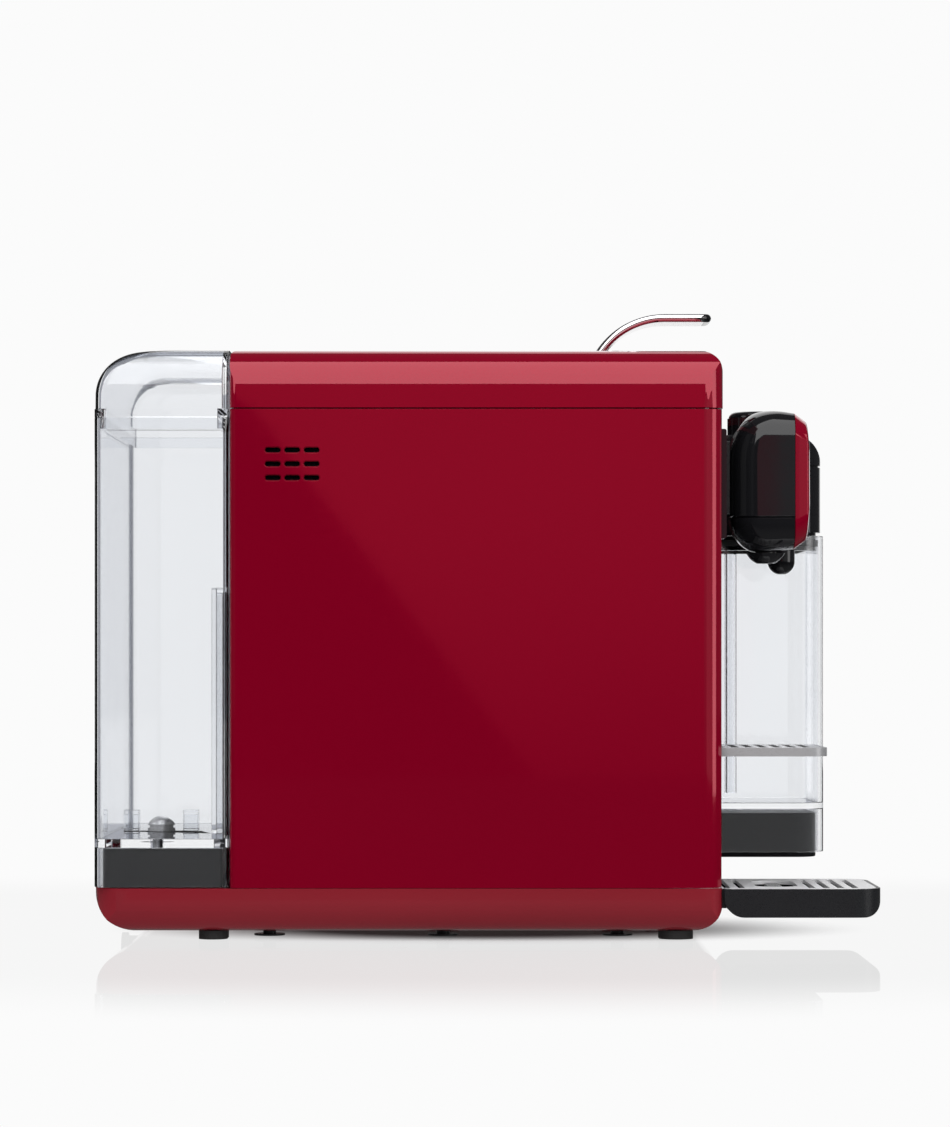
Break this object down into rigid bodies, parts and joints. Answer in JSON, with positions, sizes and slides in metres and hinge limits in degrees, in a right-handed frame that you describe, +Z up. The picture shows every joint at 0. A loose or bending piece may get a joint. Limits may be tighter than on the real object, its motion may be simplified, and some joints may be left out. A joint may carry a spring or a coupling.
{
  "type": "pod coffee machine",
  "caption": "Slim pod coffee machine with lever brewer, lift-off clear rear water tank, milk container with spout, pull-out drip tray and fold-up cup rest.",
  "frame": {"origin": "on the floor, under the centre of the bounding box at rest", "axes": "+Z up, -Y towards the front (coffee outlet and drip tray), +Y towards the water tank, +X towards the milk container's side"},
  "size_m": [0.18, 0.356, 0.289],
  "materials": {
    "red_gloss": "deep glossy red moulded plastic",
    "base_red": "satin red moulded plastic",
    "gloss_black": "piano black moulded plastic",
    "satin_black": "dark grey fine-grained plastic",
    "clear_plastic": "clear moulded plastic",
    "chrome": "polished chrome",
    "brushed_steel": "brushed stainless steel",
    "silver_plastic": "silver painted plastic",
    "black_rubber": "matte rubber",
    "hose_plastic": "milky flexible tubing",
    "board": "green circuit board",
    "heater_metal": "cast aluminium"
  },
  "bodies": {
    "machine": {"base_shell": "base_red", "chassis": "satin_black", "left_side_cover": "red_gloss", "right_side_cover": "red_gloss", "top_cover": "red_gloss", "rear_panel": "satin_black", "guide_bar": "gloss_black", "front_panel": "gloss_black", "control_panel": "gloss_black", "tank_dock": "satin_black", "dock_seal": "black_rubber", "lever_pin": "brushed_steel", "brew_frame": "satin_black", "capsule_holder": "satin_black", "piercing_plate": "brushed_steel", "outlet_arm": "satin_black", "outlet_housing": "gloss_black", "outlet_front_plate": "red_gloss", "outlet_lower_cover": "gloss_black", "coffee_nozzle": "gloss_black", "steam_port": "chrome", "rubber_feet": "black_rubber", "support_studs": "satin_black", "pump": "brushed_steel", "pump_mounts": "black_rubber", "thermoblock": "heater_metal", "flow_meter": "hose_plastic", "hoses": "hose_plastic", "control_board": "board", "cord_gland": "black_rubber", "casing_screws": "brushed_steel"},
    "button_1_body": {"button_1": "chrome"},
    "button_2_body": {"button_2": "chrome"},
    "button_3_body": {"button_3": "chrome"},
    "button_4_body": {"button_4": "chrome"},
    "button_5_body": {"button_5": "chrome"},
    "switch_body": {"power_switch": "gloss_black"},
    "lever_body": {"lever": "chrome", "lever_tip": "gloss_black", "lever_hub": "satin_black", "capsule_hatch": "red_gloss"},
    "piston_body": {"brew_piston": "silver_plastic", "piston_seal": "black_rubber"},
    "tank_body": {"water_tank": "clear_plastic", "valve_spring": "brushed_steel"},
    "tank_lid_body": {"tank_lid": "clear_plastic"},
    "valve_body": {"valve_plunger": "silver_plastic"},
    "milk_body": {"milk_container": "clear_plastic", "milk_container_base": "satin_black", "milk_lid": "gloss_black", "lid_seal": "black_rubber", "milk_spout": "gloss_black", "suction_tube": "hose_plastic"},
    "froth_knob_body": {"froth_knob": "gloss_black"},
    "drawer_body": {"drip_tray": "satin_black", "capsule_bin": "satin_black", "cup_rest_pin": "brushed_steel"},
    "grille_body": {"drip_grille": "brushed_steel"},
    "float_body": {"drip_float": "silver_plastic"},
    "cup_rest_body": {"cup_rest": "brushed_steel"}
  },
  "joints": [
    {"name": "lever_hinge", "type": "hinge", "parent": "machine", "child": "lever_body", "pos_m": [0, -0.042, 0.2555], "axis": [-1, 0, 0], "range_deg": [0, 75]},
    {"name": "piston_slide", "type": "slide", "parent": "machine", "child": "piston_body", "axis": [0, -1, 0], "range_m": [0, 0.0158]},
    {"name": "tank_lift", "type": "slide", "parent": "machine", "child": "tank_body", "axis": [0, 0, 1], "range_m": [0, 0.2]},
    {"name": "tank_lid_lift", "type": "slide", "parent": "tank_body", "child": "tank_lid_body", "axis": [0, 0, 1], "range_m": [0, 0.06]},
    {"name": "valve_lift", "type": "slide", "parent": "tank_body", "child": "valve_body", "axis": [0, 0, 1], "range_m": [0, 0.0015], "stiffness_N_per_m": 300, "springref_m": -0.001, "deforming": ["valve_spring"]},
    {"name": "milk_pull_out", "type": "slide", "parent": "machine", "child": "milk_body", "axis": [0, -1, 0], "range_m": [0, 0.09]},
    {"name": "froth_knob_turn", "type": "hinge", "parent": "milk_body", "child": "froth_knob_body", "pos_m": [0.044, -0.131, 0.24], "axis": [0, 0, 1], "range_deg": [0, 120]},
    {"name": "drawer_slide", "type": "slide", "parent": "machine", "child": "drawer_body", "axis": [0, -1, 0], "range_m": [0, 0.14]},
    {"name": "grille_lift", "type": "slide", "parent": "drawer_body", "child": "grille_body", "axis": [0, 0, 1], "range_m": [0, 0.05]},
    {"name": "float_rise", "type": "slide", "parent": "drawer_body", "child": "float_body", "axis": [0, 0, 1], "range_m": [0, 0.004]},
    {"name": "cup_rest_fold", "type": "hinge", "parent": "drawer_body", "child": "cup_rest_body", "pos_m": [-0.044, -0.0848, 0.0849], "axis": [-1, 0, 0], "range_deg": [0, 90]},
    {"name": "button_1_press", "type": "slide", "parent": "machine", "child": "button_1_body", "axis": [0, 1, 0], "range_m": [0, 0.0015], "stiffness_N_per_m": 300},
    {"name": "button_2_press", "type": "slide", "parent": "machine", "child": "button_2_body", "axis": [0, 1, 0], "range_m": [0, 0.0015], "stiffness_N_per_m": 300},
    {"name": "button_3_press", "type": "slide", "parent": "machine", "child": "button_3_body", "axis": [0, 1, 0], "range_m": [0, 0.0015], "stiffness_N_per_m": 300},
    {"name": "button_4_press", "type": "slide", "parent": "machine", "child": "button_4_body", "axis": [0, 1, 0], "range_m": [0, 0.0015], "stiffness_N_per_m": 300},
    {"name": "button_5_press", "type": "slide", "parent": "machine", "child": "button_5_body", "axis": [0, 1, 0], "range_m": [0, 0.0015], "stiffness_N_per_m": 300},
    {"name": "switch_press", "type": "slide", "parent": "machine", "child": "switch_body", "axis": [-1, 0, 0], "range_m": [0, 0.002], "stiffness_N_per_m": 400}
  ],
  "couplings": [
    {"joint": "piston_slide", "follows": "lever_hinge", "m_per_rad": 0.012}
  ]
}
